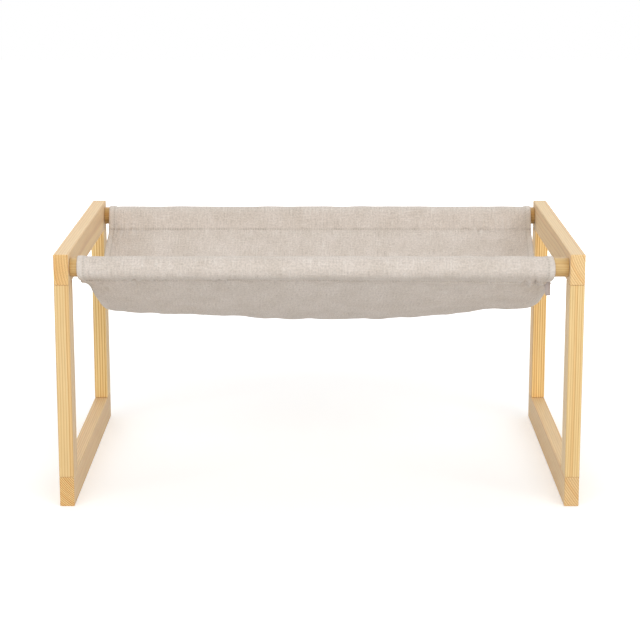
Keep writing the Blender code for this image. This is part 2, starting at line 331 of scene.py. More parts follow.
# %% Pine
X, Y, Z = range(3)
PITH_DISTANCE = 110 * MM
RING_SWAY = 2.7 * MM
RING_WAVER = 0.36 * MM
EARLYWOOD = (0.83, 0.60, 0.295)
WARM_RING = (0.80, 0.50, 0.205)
LATEWOOD = (0.60, 0.32, 0.095)
END_GRAIN_TINT = (1.00, 0.95, 0.90)
END_GRAIN_LINE = (0.66, 0.50, 0.34)
# How dark a ring is, from its inner edge at 0 to its outer one at 1
RING_SHADE = [(0.0, 0.25), (0.08, 0.02), (0.45, 0.10), (0.86, 1.0), (1.0, 0.3)]
# What an end face is tinted with, and how strongly its rings show
PLAIN_END = ((1.0, 1.0, 1.0), 0.8)
PINE_FINISH = {
    "IOR": 1.47,
    "Coat_Weight": 0.10,
    "Coat_Roughness": 0.4,
    "Sheen_Weight": 0.22,
    "Sheen_Roughness": 0.5,
}


def tinted(colour, tint):
    """A colour times a tint."""
    return tuple(part * share for part, share in zip(colour, tint))


def make_pine(name, grain, middle, board, end_face=PLAIN_END):
    """Pine with its grain along one axis, for a board with its middle at a given place.

    The pith lies beside the middle, at the board's angle between the two other axes. The ring
    number is (distance from the pith + a slow sway + a quick waver) / ring width, and its
    fraction tells how dark the ring is there.
    """
    angle, ring_width, tone, contrast = board
    end_tone, end_contrast = end_face
    pith = list(middle)
    sideways = [axis for axis in (X, Y, Z) if axis != grain]
    for axis, wave in zip(sideways, (math.cos, math.sin)):
        pith[axis] += PITH_DISTANCE * wave(math.radians(angle))
    material, recipe = new_material(name, **PINE_FINISH)
    place = recipe.position()

    def stretched(across, along):
        """A scale with one number across the grain and another along it."""
        return tuple(along if axis == grain else across for axis in (X, Y, Z))

    def figure(across, along, detail=2.0):
        """Noise with so many features in a metre across the grain and along it."""
        return recipe.noise(place, stretched(across, along), pith, detail)

    shift = tuple(0.0 if axis == grain else -pith[axis] for axis in (X, Y, Z))
    offset = recipe.scaled(place, stretched(1.0, 0.0), shift)
    radius = recipe.node("ShaderNodeVectorMath", {"operation": "LENGTH"}, [offset], "Value")
    sway = (figure(30.0, 5.0, 1.0) - 0.5) * RING_SWAY
    waver = (figure(260.0, 14.0, 1.0) - 0.5) * RING_WAVER
    rings = (radius + (sway + waver)) / ring_width
    settings = {"noise_dimensions": "1D"}
    number = {"W": rings.math("FLOOR")}
    chance = recipe.node("ShaderNodeTexWhiteNoise", settings, number, "Value")
    ring = recipe.ramp(rings.math("FRACT"), *RING_SHADE)
    late = ring * (0.5 + 0.5 * chance) * contrast

    fibre = recipe.noise(place, stretched(1500.0, 26.0), detail=3.0)
    cloud = figure(22.0, 3.5)
    streak = recipe.ramp(figure(420.0, 7.0), (0.60, 0.0), (0.74, 1.0))
    dark = tinted(LATEWOOD, tone)
    warmth = chance * chance * 0.8
    colour = recipe.mix(warmth, tinted(EARLYWOOD, tone), tinted(WARM_RING, tone))
    colour = recipe.mix(late * 0.85, colour, dark)
    colour = recipe.mix(streak * 0.16, colour, dark)
    colour = recipe.times(colour, recipe.ramp(fibre, (0.25, 0.91), (0.75, 1.05)))
    shade = recipe.ramp(cloud, (0.25, (0.97, 0.93, 0.86)), (0.75, (1.02, 1.03, 1.05)))
    colour = recipe.times(colour, shade)

    facing = recipe.node("ShaderNodeTexCoord", output="Normal")
    facing = recipe.node("ShaderNodeSeparateXYZ", {}, [facing], "XYZ"[grain])
    on_end = recipe.ramp(facing.math("ABSOLUTE"), (0.60, 0.0), (0.85, 1.0))
    pores = recipe.noise(place, (1100.0,) * 3)
    end_tint, end_line = tinted(END_GRAIN_TINT, end_tone), tinted(END_GRAIN_LINE, end_tone)
    end_shade = recipe.mix(ring * (0.6 * end_contrast), end_tint, end_line)
    end_shade = recipe.times(end_shade, recipe.ramp(pores, (0.3, 0.86), (0.62, 1.04)))
    colour = recipe.mix(on_end, colour, recipe.times(colour, end_shade))

    roughness = 0.48 + 0.12 * fibre - 0.05 * late + 0.2 * on_end
    height = 0.65 * fibre - 0.35 * late + 0.5 * pores * on_end
    recipe.finish(colour, roughness, height, 0.06 * MM, 0.6)
    return material


def dress(node_name, material):
    """Puts one material on a piece of the model."""
    mesh = nodes[node_name].data
    mesh.materials.clear()
    mesh.materials.append(material)


print("pine rings sway by up to", RING_SWAY / MM / 2, "mm")

# %% [markdown]
# Each batten gets its own board. On a leg the pith lies to one side, so that its front face
# shows straight lines up its whole height. On a rail it lies at a slant, which sets how the
# lines run on the end that faces the front: at half a right angle on the bottom left one, and
# steeper on the top right one. End faces also differ in tint and in how clearly their rings
# show. The rear legs are a little more orange than the front ones, and their tone is also
# brighter: painted light that makes up for the shade the sling casts on them.

# %% Boards
# Each leg: the direction of its pith in degrees from +X towards +Y, the width of its rings,
# its tone and its contrast
LEG_BOARDS = {
    "left_front_leg": (8, 2.9 * MM, (0.97, 0.99, 1.00), 1.1),
    "right_front_leg": (172, 2.6 * MM, (1.02, 1.07, 1.09), 1.2),
    # The rear legs' tones are raised as painted light, against the shade the sling casts on them
    "left_rear_leg": (-14, 3.3 * MM, (1.14, 1.20, 1.15), 1.9),
    "right_rear_leg": (193, 3.2 * MM, (1.24, 1.25, 1.14), 1.9),
}
# Each rail: the same, its angle counted from +X towards +Z
RAIL_BOARDS = {
    "left_top_rail": (8, 3.1 * MM, (1.02, 1.01, 0.99), 0.8),
    "right_top_rail": (30, 2.6 * MM, (0.99, 1.00, 0.99), 0.8),
    "left_bottom_rail": (46, 2.0 * MM, (0.97, 0.95, 0.92), 1.0),
    "right_bottom_rail": (36, 2.5 * MM, (0.98, 0.97, 0.93), 0.8),
}
# Each rail's end faces: their tint and how strongly their rings show
END_FACES = {
    "left_top_rail": ((0.96, 0.94, 0.89), 0.35),
    "right_top_rail": ((1.08, 1.13, 1.26), 0.5),
    "left_bottom_rail": ((1.09, 1.12, 1.08), 2.3),
    "right_bottom_rail": ((0.99, 1.02, 1.12), 0.7),
}


def middle_of(node_name):
    """The middle of a piece's box."""
    low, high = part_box(node_name)
    return [(a + b) / 2 for a, b in zip(low, high)]


for grain, boards in ((Z, LEG_BOARDS), (Y, RAIL_BOARDS)):
    for node_name, board in boards.items():
        board_name, end_face = node_name + "_pine", END_FACES.get(node_name, PLAIN_END)
        dress(node_name, make_pine(board_name, grain, middle_of(node_name), board, end_face))
print("boards dressed:", len(LEG_BOARDS) + len(RAIL_BOARDS))

# %% [markdown]
# The pins that hold the joints are turned from beech, which has no bold rings but many short
# dark flecks along the grain. They hide in their holes, but a piece that is seen when the bed
# is taken apart deserves its own finish, and the fleck is one stretched noise cut off high.

# %% Beech pins
BEECH = (0.66, 0.44, 0.27)
BEECH_FLECK = (0.46, 0.27, 0.15)


def make_beech():
    """Beech with short flecks: noise stretched four to one along Z, kept where it is high."""
    material, recipe = new_material("beech", IOR=1.47)
    place = recipe.position()
    fleck = recipe.noise(place, (1800.0, 1800.0, 420.0), detail=1.0)
    fleck = recipe.ramp(fleck, (0.58, 0.0), (0.66, 1.0))
    fibre = recipe.noise(place, (2600.0, 2600.0, 60.0))
    colour = recipe.mix(fleck * 0.6, BEECH, BEECH_FLECK)
    colour = recipe.times(colour, recipe.ramp(fibre, (0.2, 0.9), (0.8, 1.06)))
    recipe.finish(colour, 0.5 + 0.15 * fibre, fibre, 0.05 * MM, 0.5)
    return material


beech = make_beech()
pins = [name for name in nodes if "_pin_" in name]
for name in pins:
    dress(name, beech)
print("pins dressed:", len(pins))

# %% [markdown]
# Bolts and threaded inserts are plated with zinc: a bright grey metal with a cloudy, slightly
# uneven shine. The colour hardly changes, so the cloudiness goes mostly into the roughness,
# and a fine bump breaks up the reflections.

# %% Zinc plate
ZINC = (0.66, 0.67, 0.68)
ZINC_DULL = (0.50, 0.51, 0.53)


def make_zinc():
    """Zinc plate: roughness between 0.24 and 0.42 after a cloudy noise."""
    material, recipe = new_material("zinc_plate", Metallic=1.0)
    place = recipe.position()
    cloud = recipe.noise(place, (420.0,) * 3, detail=3.0)
    grit = recipe.noise(place, (5200.0,) * 3, detail=1.0)
    colour = recipe.mix(cloud, ZINC, ZINC_DULL)
    recipe.finish(colour, 0.24 + 0.18 * cloud, grit, 0.02 * MM, 0.5)
    return material


zinc = make_zinc()
inserts = [name for name in nodes if name.endswith("_insert")]
for name in inserts:
    dress(name, zinc)
print("inserts dressed:", len(inserts))

# %% [markdown]
# New shapes are surfaces: numpy works out all points of a grid at once, and the points go into
# a mesh together with faces that join neighbours in the grid. A turned piece is the plainest
# kind. Its two parameters are the place along its profile and the angle round its axis. The
# model's bars and bolts have few sides, which shows where a bar is bare beside the rails, so
# they are turned again here with many.

# %% Mesh helpers
TURN_SIDES = 72
SHARP_ANGLE = math.radians(35)


def new_piece(name, points, faces, material, sharp_angle=None, uv=None):
    """A smooth mesh from arrays of points and faces, at the origin, riding with the bed."""
    mesh = bpy.data.meshes.new(name)
    mesh.from_pydata(points.tolist(), [], faces)
    mesh.shade_smooth()
    if sharp_angle is not None:
        mesh.set_sharp_from_angle(angle=sharp_angle)
    if uv is not None:
        corners = np.empty(len(mesh.loops), dtype=np.int32)
        mesh.loops.foreach_get("vertex_index", corners)
        layer = mesh.uv_layers.new(name="cloth")
        layer.data.foreach_set("uv", uv[corners].astype(np.float32).ravel())
    mesh.materials.append(material)
    piece = bpy.data.objects.new(name, mesh)
    bpy.context.scene.collection.objects.link(piece)
    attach(piece, "root")
    return piece


def turned_along_x(profile, centre, sharpen=None):
    """Points and faces of a profile of (x, radius) rows turned round a line along X.

    A point is (x, y + radius cos a, z + radius sin a). The first and last rows have radius 0
    and become the two poles. sharpen may change the radii: it takes the radius and angle grids.
    """
    rows = np.array(profile)
    angle = np.arange(TURN_SIDES) * (2 * math.pi / TURN_SIDES)
    along = np.repeat(rows[1:-1, :1], TURN_SIDES, axis=1)
    radius = np.repeat(rows[1:-1, 1:], TURN_SIDES, axis=1)
    if sharpen is not None:
        radius = sharpen(radius, angle)
    ring_points = np.stack(
        [along, centre[1] + radius * np.cos(angle), centre[2] + radius * np.sin(angle)], axis=-1
    ).reshape(-1, 3)
    poles = np.array([(rows[end, 0], *centre[1:]) for end in (0, -1)])
    points = np.concatenate([ring_points, poles])

    count = len(rows) - 2
    index = np.arange(count * TURN_SIDES).reshape(count, TURN_SIDES)
    following = np.roll(index, -1, axis=1)
    bands = np.stack([index[:-1], index[1:], following[1:], following[:-1]], axis=-1)
    faces = bands.reshape(-1, 4).tolist()
    first_pole, last_pole = len(ring_points), len(ring_points) + 1
    faces += [(first_pole, a, b) for a, b in zip(index[0].tolist(), following[0].tolist())]
    faces += [(last_pole, b, a) for a, b in zip(index[-1].tolist(), following[-1].tolist())]
    return points, faces


def face_outwards(piece):
    """Turns a closed piece right side out if its volume comes out negative."""
    shape = bmesh.new()
    shape.from_mesh(piece.data)
    volume = shape.calc_volume(signed=True)
    shape.free()
    if volume < 0:
        piece.data.flip_normals()
    return round(abs(volume) * 1e6, 2)


print("turned pieces have", TURN_SIDES, "sides")

# %% [markdown]
# A crossbar is a round pine bar with eased ends. Each end is drilled twice: wide for the
# threaded insert, and deeper and narrower for the tip of the bolt. The profile runs from the
# bottom of one hole, out over the bar and into the other hole.

# %% Crossbars
BAR_EASING = 0.6 * MM
# Radius and depth of the two holes
INSERT_HOLE = (5.3 * MM, 20.3 * MM)
TIP_HOLE = (3.3 * MM, 26.4 * MM)
# Each bar: the same as a rail, its angle counted from +Y towards +Z
# The bars' tones are darker than the battens': painted shade that deepens the shading of their
# bare ends beside the rails, the rear bar's most
BAR_BOARDS = {
    "front": (118, 2.6 * MM, (0.79, 0.755, 0.645), 1.0),
    "rear": (60, 2.6 * MM, (0.74, 0.69, 0.57), 1.1),
}


def crossbar_profile():
    """Half the profile from the left, mirrored to make the right half."""
    hole_radius, hole_depth = INSERT_HOLE
    tip_radius, tip_depth = TIP_HOLE
    half = [
        (tip_depth, 0.0),
        (tip_depth, tip_radius),
        (hole_depth, tip_radius),
        (hole_depth, hole_radius),
        (0.0, hole_radius),
        (0.0, BAR_RADIUS - BAR_EASING),
        (0.3 * BAR_EASING, BAR_RADIUS - 0.3 * BAR_EASING),
        (BAR_EASING, BAR_RADIUS),
    ]
    left = [(-BAR_END + depth, radius) for depth, radius in half]
    return left + [(-x, radius) for x, radius in reversed(left)]


for end_name, end in ENDS.items():
    centre = (0.0, end * BAR_DEPTH, BAR_HEIGHT)
    material = make_pine(end_name + "_bar_pine", X, centre, BAR_BOARDS[end_name])
    points, faces = turned_along_x(crossbar_profile(), centre)
    bar = new_piece(end_name + "_crossbar_turned", points, faces, material, SHARP_ANGLE)
    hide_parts(end_name + "_crossbar")
    print(bar.name, "volume in ml", face_outwards(bar))

# %% [markdown]
# A bolt has a low head with rounded edges and a hexagon socket. A socket is not round, but a
# turned surface can still make it: the radius only has to follow the angle, as the distance
# from the middle of a hexagon to its edge does.

# %% Bolts
SOCKET_RADIUS = 2.0 * MM
SOCKET_DEPTH = 2.0 * MM
SOCKET_RIM = 1.35 * SOCKET_RADIUS
HEAD_EASING = 0.8 * MM
HEAD_HEIGHT = 3.0 * MM
SHANK_RADIUS = 3.0 * MM
TIP_EASING = 1.0 * MM
bolt_low, bolt_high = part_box("left_front_bolt")
HEAD_RADIUS = (bolt_high.z - bolt_low.z) / 2


def bolt_profile(side, under_head, tip):
    """From the socket's floor, over the head and down the shank to its tip."""
    floor, top = HEAD_HEIGHT - SOCKET_DEPTH, HEAD_HEIGHT
    rows = [(floor, 0.0), (floor, SOCKET_RADIUS), (top, SOCKET_RADIUS), (top, SOCKET_RIM)]
    for angle in np.linspace(math.pi / 2, 0, 6):
        along = top - HEAD_EASING + HEAD_EASING * math.sin(angle)
        rows.append((along, HEAD_RADIUS - HEAD_EASING * (1 - math.cos(angle))))
    rows += [(0.0, HEAD_RADIUS), (0.0, SHANK_RADIUS)]
    rows += [(tip + TIP_EASING, SHANK_RADIUS), (tip, SHANK_RADIUS - TIP_EASING), (tip, 0.0)]
    return [(side * (under_head + x), radius) for x, radius in rows]


def hexagon_socket(radius, angle):
    """Stretches the first two rings to a hexagon: the radius over the cosine to each flat."""
    from_flat = (angle + math.pi / 6) % (math.pi / 3) - math.pi / 6
    shaped = radius.copy()
    shaped[:2] = radius[:2] / np.cos(from_flat)
    return shaped


for side_name, side in SIDES.items():
    for end_name in ENDS:
        node_name = f"{side_name}_{end_name}_bolt"
        low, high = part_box(node_name)
        inner, outer = sorted((abs(low.x), abs(high.x)))
        under_head = outer - HEAD_HEIGHT
        profile = bolt_profile(side, under_head, inner - under_head)
        points, faces = turned_along_x(profile, middle_of(node_name), hexagon_socket)
        bolt_name = node_name + "_turned"
        bolt = new_piece(bolt_name, points, faces, zinc, SHARP_ANGLE)
        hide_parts(node_name)
        print(bolt.name, "volume in ml", face_outwards(bolt))

# %% [markdown]
# The sling is one length of canvas. It starts at a folded hem in front, runs up over the front
# bar, hangs through the bed, and goes over the rear bar to a second hem. It could be modelled
# as three shapes, but real cloth has no joints there, so it is one grid. Its rows follow the
# path from hem to hem, and its columns lie side by side from left to right. Columns crowd
# together near the side edges, where the hems need fine steps.

# %% Grid of the cloth
COLUMNS = 212
ROWS_PANEL = 108
ROWS_HEM = 5
ROWS_FLANK = 6
ROWS_ARC = 24
CROWDING = 0.085

# Shares from 0 to 1, closer together at both ends: k - c sin(2 pi k)
even_share = np.linspace(0.0, 1.0, COLUMNS)
across_share = (even_share - CROWDING * np.sin(2 * math.pi * even_share))[None, :]
print("columns", COLUMNS, "rows of the panel", ROWS_PANEL)

# %% [markdown]
# The canvas is about a millimetre thick. Its side edges and the ends of its sleeves are turned
# over twice and sewn, so there it is thicker. The thickness has to be known before the path,
# because a thicker strip lies further from the bar.

# %% Thickness
CANVAS_THICKNESS = 0.9 * MM
HEM_THICKNESS = 1.7 * MM
HEM_WIDTH = 8.0 * MM
HEM_STEP = 1.2 * MM
FRONT_WIDTH = 537 * MM
REAR_WIDTH = 553.6 * MM


def smooth_step(value):
    """0 below 0, 1 above 1, and 3v^2 - 2v^3 between."""
    clipped = np.clip(value, 0.0, 1.0)
    return clipped * clipped * (3 - 2 * clipped)


def from_side_edge(width):
    """Distance along the cloth from the nearer side edge."""
    return np.minimum(across_share, 1 - across_share) * width


hem_share = 1 - smooth_step((from_side_edge(FRONT_WIDTH) - HEM_WIDTH) / HEM_STEP + 0.5)
side_thickness = CANVAS_THICKNESS + (HEM_THICKNESS - CANVAS_THICKNESS) * hem_share
thinnest, thickest = side_thickness.min() / MM, side_thickness.max() / MM
print("thickness", round(thinnest, 2), "to", round(thickest, 2), "mm")

# %% [markdown]
# Seen from the side, a sleeve is a drop: a round part that lies on the bar, and two flanks that
# run together in the seam below it. The weight in the sling pulls the seam inwards as well as
# down, so the drop leans, and the inner flank faces up towards the light. The flanks leave the
# round part where its radius is square to them. The outer flank ends in a folded hem, sewn to
# the cloth behind it. The sleeve hangs from the top of the bar and is a little loose at its
# sides, so the round part is slightly larger than the bar and its middle slightly lower. The
# front seam was sewn a little askew: towards its right end it lies lower.

# %% Sleeves
SLEEVE_ROOM = 0.9 * MM
SLEEVE_HANG = 0.7 * SLEEVE_ROOM
SEAM_INSET = {"front": 12.0 * MM, "rear": 21.7 * MM}
SEAM_DROP = {"front": 19.3 * MM, "rear": 18.2 * MM}
SEAM_SKEW = {"front": 2.6 * MM, "rear": 0.0}
SKEW_START = 0.45
HEM_HEIGHT = 4.2 * MM
TAIL_THICKNESS = 1.3 * MM
LAYER_GAP = 0.15 * MM


def sleeve_path(end_name):
    """Depth and height of a sleeve's rows, from the free hem to the seam's lower tip.

    Along the drop's direction d the hem runs from the tip up to the stitch line, a layer
    outside it. The round part spans all angles but those between the two tangents, which
    lie at acos(radius / stitch distance) on either side of d.
    """
    end = ENDS[end_name]
    radius = BAR_RADIUS + SLEEVE_ROOM + side_thickness / 2
    middle = np.array([end * BAR_DEPTH, BAR_HEIGHT - SLEEVE_HANG])
    skew = SEAM_SKEW[end_name] * smooth_step((across_share[0] - SKEW_START) / (1 - SKEW_START))
    drop = SEAM_DROP[end_name] - SLEEVE_HANG + skew
    inset = SEAM_INSET[end_name]
    direction = np.arctan2(-drop, -end * inset)
    along = np.stack([np.cos(direction), np.sin(direction)], axis=-1)
    outward = end * np.stack([-along[:, 1], along[:, 0]], axis=-1)
    tip = np.hypot(drop, inset)
    stitch = tip - HEM_HEIGHT
    layer = (side_thickness + TAIL_THICKNESS) / 2 + LAYER_GAP

    tangent = np.arccos(radius / stitch)
    start = direction + end * tangent
    turn = end * (2 * math.pi - 2 * tangent)
    share = np.linspace(0.0, 1.0, ROWS_ARC)[:, None]
    angle = start + turn * share
    arc = np.stack([radius * np.cos(angle), radius * np.sin(angle)], axis=-1)

    def on_seam(distance, offset):
        """Points on the drop's direction, moved outwards by an offset."""
        return distance[..., None] * along + offset[..., None] * outward

    hem = on_seam(np.linspace(tip, stitch, ROWS_HEM), layer)
    inner_hem = on_seam(np.linspace(stitch, tip, ROWS_HEM), 0 * layer)
    steps = np.linspace(0.0, 1.0, ROWS_FLANK + 2)[1:-1, None, None]
    outer_flank = hem[-1] + (arc[0] - hem[-1]) * steps
    inner_flank = arc[-1] + (inner_hem[0] - arc[-1]) * steps
    rows = np.concatenate([hem, outer_flank, arc, inner_flank, inner_hem])
    return rows + middle


front_rows = sleeve_path("front")
rear_rows = sleeve_path("rear")
ROWS_SLEEVE = len(front_rows)
print("rows of a sleeve", ROWS_SLEEVE, "top of the cloth", round(front_rows[..., 1].max(), 4))

# %% [markdown]
# The panel between the seams sags by its own weight and use. From front to rear it follows a
# curve between a V and a bowl. Its side edges are hemmed, and so they are tighter than the
# middle: the cloth turns up near them like the side of a cradle. Each row is laid out by its
# slope: the sum of cosines gives the place across and the sum of sines the height. Then the
# row is fitted between two edge curves, each given at five places from front to rear. A few
# slow hollows and swells break the smooth sag, as the lower outline in the photograph shows.

# %% Panel
SAG = 76.8 * MM
SAG_POWER = 1.79
SAG_ROUNDING = 0.12
LEFT_LIFT = 14.5 * MM
RIGHT_LIFT = 21.8 * MM
LIFT_POWER = 1.83
LEFT_TURN_UP = 62.6
RIGHT_TURN_UP = 57.4
LEFT_TURN_WIDTH = 16.9 * MM
RIGHT_TURN_WIDTH = 20.0 * MM
TURN_POWER = 3.3
TURN_SHARPNESS = 3.2
TURN_LEAN = 0.62
EDGE_PLACES = [-1.0, -0.5, 0.0, 0.5, 1.0]
LEFT_EDGE = [-271.2 * MM, -265.2 * MM, -268.0 * MM, -274.6 * MM, -275.0 * MM]
RIGHT_EDGE = [263.8 * MM, 268.2 * MM, 269.5 * MM, 273.2 * MM, 276.0 * MM]
# Each hollow or swell along the sag: its X, its half width and how far it rises
SWELLS = [
    (-235 * MM, 20 * MM, -1.3 * MM),
    (-145 * MM, 45 * MM, 1.3 * MM),
    (-95 * MM, 38 * MM, 1.4 * MM),
    (48 * MM, 26 * MM, 1.2 * MM),
    (108 * MM, 20 * MM, -1.7 * MM),
    (198 * MM, 30 * MM, 3.1 * MM),
    (246 * MM, 20 * MM, -2.2 * MM),
]


def edge_curve(places, sweep):
    """X of a side edge: the one polynomial of the fourth degree through its five places."""
    return np.polyval(np.polyfit(EDGE_PLACES, places, 4), sweep)


def sag_shape(sweep):
    """1 in the middle and 0 at the seams: one minus |t| to a power, its tip rounded off."""
    rounded = (sweep**2 + SAG_ROUNDING**2) ** (SAG_POWER / 2)
    lowest = SAG_ROUNDING**SAG_POWER
    highest = (1 + SAG_ROUNDING**2) ** (SAG_POWER / 2)
    return 1 - (rounded - lowest) / (highest - lowest)


def panel_rows():
    """X, Y and Z of the panel's rows between the two seams.

    Each row's slope is the left turn-up times exp(-(distance / width)^sharpness), downwards,
    and the right one upwards. The turn-up fades at the seams as 1 - |t|^power and leans to the
    front.
    """
    share = np.linspace(0.0, 1.0, ROWS_PANEL + 2)[1:-1, None]
    sweep = 2 * share - 1
    width = FRONT_WIDTH + (REAR_WIDTH - FRONT_WIDTH) * share
    distance = across_share * width
    swell = (1 - np.abs(sweep) ** TURN_POWER) * (1 - TURN_LEAN * sweep)
    from_left = distance / LEFT_TURN_WIDTH
    from_right = (width - distance) / RIGHT_TURN_WIDTH
    left = math.radians(LEFT_TURN_UP) * np.exp(-(from_left**TURN_SHARPNESS))
    right = math.radians(RIGHT_TURN_UP) * np.exp(-(from_right**TURN_SHARPNESS))
    slope = swell * (right - left)

    step = np.diff(distance, axis=1)
    middle_slope = (slope[:, 1:] + slope[:, :-1]) / 2
    start = np.zeros((ROWS_PANEL, 1))
    x = np.concatenate([start, np.cumsum(np.cos(middle_slope) * step, axis=1)], axis=1)
    rise = np.concatenate([start, np.cumsum(np.sin(middle_slope) * step, axis=1)], axis=1)
    left_edge = edge_curve(LEFT_EDGE, sweep)
    right_edge = edge_curve(RIGHT_EDGE, sweep)
    x = left_edge + (right_edge - left_edge) * x / x[:, -1:]
    rise = rise - rise[:, COLUMNS // 2 : COLUMNS // 2 + 1]
    for place, reach, height in SWELLS:
        rise = rise + height * sag_shape(sweep) * np.exp(-(((x - place) / reach) ** 2))

    lift = LEFT_LIFT * np.clip(1 - 2 * across_share, 0, 1) ** LIFT_POWER
    lift = lift + RIGHT_LIFT * np.clip(2 * across_share - 1, 0, 1) ** LIFT_POWER
    front_tip, rear_tip = front_rows[-1], rear_rows[-1]
    y = front_tip[:, 0] + (rear_tip[:, 0] - front_tip[:, 0]) * share
    seam = front_tip[:, 1] + (rear_tip[:, 1] - front_tip[:, 1]) * share
    z = seam - (SAG - lift) * sag_shape(sweep) + rise
    return np.stack([x, y, z], axis=-1)


panel = panel_rows()
print("lowest point of the panel", round(float(panel[..., 2].min()), 4))

# %% [markdown]
# The front ends of the sleeves are not square any more after some use: both draw in below the
# bar, the right one more and also a little above it. The rear ends are still square.
# Each row of a sleeve then spreads its columns between its own two ends.

# %% Sleeve ends
FRONT_LEFT_END = -273.6 * MM
FRONT_LEFT_CURL = 2.0 * MM
CURL_DROP = 18.5 * MM
FRONT_RIGHT_END = 266.1 * MM
FRONT_RIGHT_CURL = 4.6 * MM
FRONT_RIGHT_TOP = 2.2 * MM
TOP_RISE = 13.0 * MM
REAR_LEFT_END = -275.4 * MM
REAR_RIGHT_END = 276.4 * MM


def with_ends(rows, left, right):
    """Adds X to a sleeve's rows, spread between a left and a right end for each point."""
    x = left + (right - left) * across_share + 0 * rows[..., 0]
    return np.stack([x, rows[..., 0], rows[..., 1]], axis=-1)


above_bar = front_rows[..., 1] - BAR_HEIGHT
below_bar = np.clip(-above_bar, 0, None)
front_left = FRONT_LEFT_END + FRONT_LEFT_CURL * (below_bar / CURL_DROP) ** 2
front_right = FRONT_RIGHT_END - FRONT_RIGHT_CURL * (below_bar / CURL_DROP) ** 4
front_right = front_right - FRONT_RIGHT_TOP * (np.clip(above_bar, 0, None) / TOP_RISE) ** 2
front_sleeve = with_ends(front_rows, front_left, front_right)
rear_sleeve = with_ends(rear_rows, REAR_LEFT_END, REAR_RIGHT_END)
path = np.concatenate([front_sleeve, panel, rear_sleeve[::-1]])
ROWS = len(path)
STITCH_ROWS = {"front": ROWS_HEM - 1, "rear": ROWS - ROWS_HEM}
INNER_STITCH_ROWS = {"front": ROWS_SLEEVE - ROWS_HEM, "rear": ROWS - ROWS_SLEEVE + ROWS_HEM - 1}
print("grid of the cloth", path.shape[:2])

# %% [markdown]
# The path has corners where straight stretches meet. Canvas bends in curves, so every column
# is smoothed by a bell-shaped average along its length. The average is one matrix, made from
# the distances along the middle column, and multiplying by it smooths all columns at once.

# %% Smoothing
BEND_LENGTH = 1.3 * MM


def length_along(grid):
    """Length from the first row to each point, measured along its column."""
    steps = np.linalg.norm(np.diff(grid, axis=0), axis=-1)
    start = np.zeros((1, grid.shape[1]))
    return np.concatenate([start, np.cumsum(steps, axis=0)])


def bell_average(places, length):
    """Rows of weights exp(-(distance / length)^2 / 2), each adding up to 1."""
    gaps = places[:, None] - places[None, :]
    spacing = np.gradient(places)
    weights = np.exp(-0.5 * (gaps / length) ** 2) * spacing[None, :]
    return weights / weights.sum(axis=1, keepdims=True)


middle_length = length_along(path)[:, COLUMNS // 2]
weights = bell_average(middle_length, BEND_LENGTH)
smooth_path = np.einsum("rk,kcd->rcd", weights, path)
print("cloth from hem to hem", round(float(middle_length[-1]), 4), "m")

# %% [markdown]
# Now the cloth gets its creases. Most of them are sums of cosine waves with random directions
# and lengths, which look like the gentle unevenness of used cloth. The seed is fixed, so every
# run makes the same creases. Over the bar the cloth is tight and the waves are small; on the
# panel they are larger and slower.

# %% Waves
# Each wave: its length, its height and its seed
BROAD_WAVE = (90 * MM, 0.45 * MM, 11)
MIDDLE_WAVE = (34 * MM, 0.26 * MM, 12)
FINE_WAVE = (15 * MM, 0.10 * MM, 13)
SLEEVE_WAVE = (46 * MM, 0.22 * MM, 14)
WAVE_COUNT = 26
SEAM_FADE = 45 * MM
# The rows where the panel starts and ends
SEAM_ROWS = {"front": ROWS_SLEEVE - 1, "rear": ROWS - ROWS_SLEEVE}


def waves(x, s, length, seed, across_only=False):
    """About -2 to 2: a sum of cosines with mixed directions, lengths and starts."""
    random = np.random.default_rng(seed)
    total = np.zeros(np.broadcast(x, s).shape)
    for _ in range(WAVE_COUNT):
        direction = 0.0 if across_only else random.uniform(0, math.pi)
        number = 2 * math.pi / (length * random.uniform(0.7, 1.5))
        start = random.uniform(0, 2 * math.pi)
        total += np.cos(number * (math.cos(direction) * x + math.sin(direction) * s) + start)
    return total / math.sqrt(WAVE_COUNT / 2)


def highest(relief):
    """The relief's largest height or depth, in millimetres."""
    return round(float(np.abs(relief).max()) / MM, 2)


width_here = np.linalg.norm(np.diff(smooth_path, axis=1), axis=-1).sum(axis=1)[:, None]
across = across_share * width_here
along = length_along(smooth_path)
on_panel = np.zeros((ROWS, 1))
on_panel[SEAM_ROWS["front"] : SEAM_ROWS["rear"] + 1] = 1.0
from_seams = np.minimum(*(np.abs(along - along[row]) for row in SEAM_ROWS.values()))
inner_panel = on_panel * smooth_step(from_seams / SEAM_FADE)
relief = np.zeros((ROWS, COLUMNS))
for weight, (length, height, seed) in (
    (inner_panel, BROAD_WAVE),
    (inner_panel, MIDDLE_WAVE),
    (on_panel, FINE_WAVE),
    (1 - on_panel, SLEEVE_WAVE),
):
    relief = relief + weight * height * waves(across, along, length, seed)
print("waves up to", highest(relief), "mm")

# %% [markdown]
# Sewing gathers the cloth a little: short puckers cross each seam and die away within a
# fingertip's width. They come in groups, so the puckers are multiplied by bells round the
# places where the photograph shows them, over a low level everywhere. Above the seam the two
# flanks of the sleeve share them, and as the flanks face opposite ways, the outer one takes
# them with the sign turned.

# %% Puckers along the seams
PUCKER_LENGTH = 10 * MM
PUCKER_HEIGHT = 0.8 * MM
PUCKER_REACH = 11 * MM
PUCKER_LEAST = 0.35
PUCKER_SEEDS = {"front": 21, "rear": 31}
# Groups of puckers on each seam: X and half width, in millimetres
PUCKER_GROUPS = {
    "front": [(-207, 30), (-108, 16), (40, 22), (245, 18)],
    "rear": [(-245, 26), (-60, 20), (70, 30), (205, 30)],
}


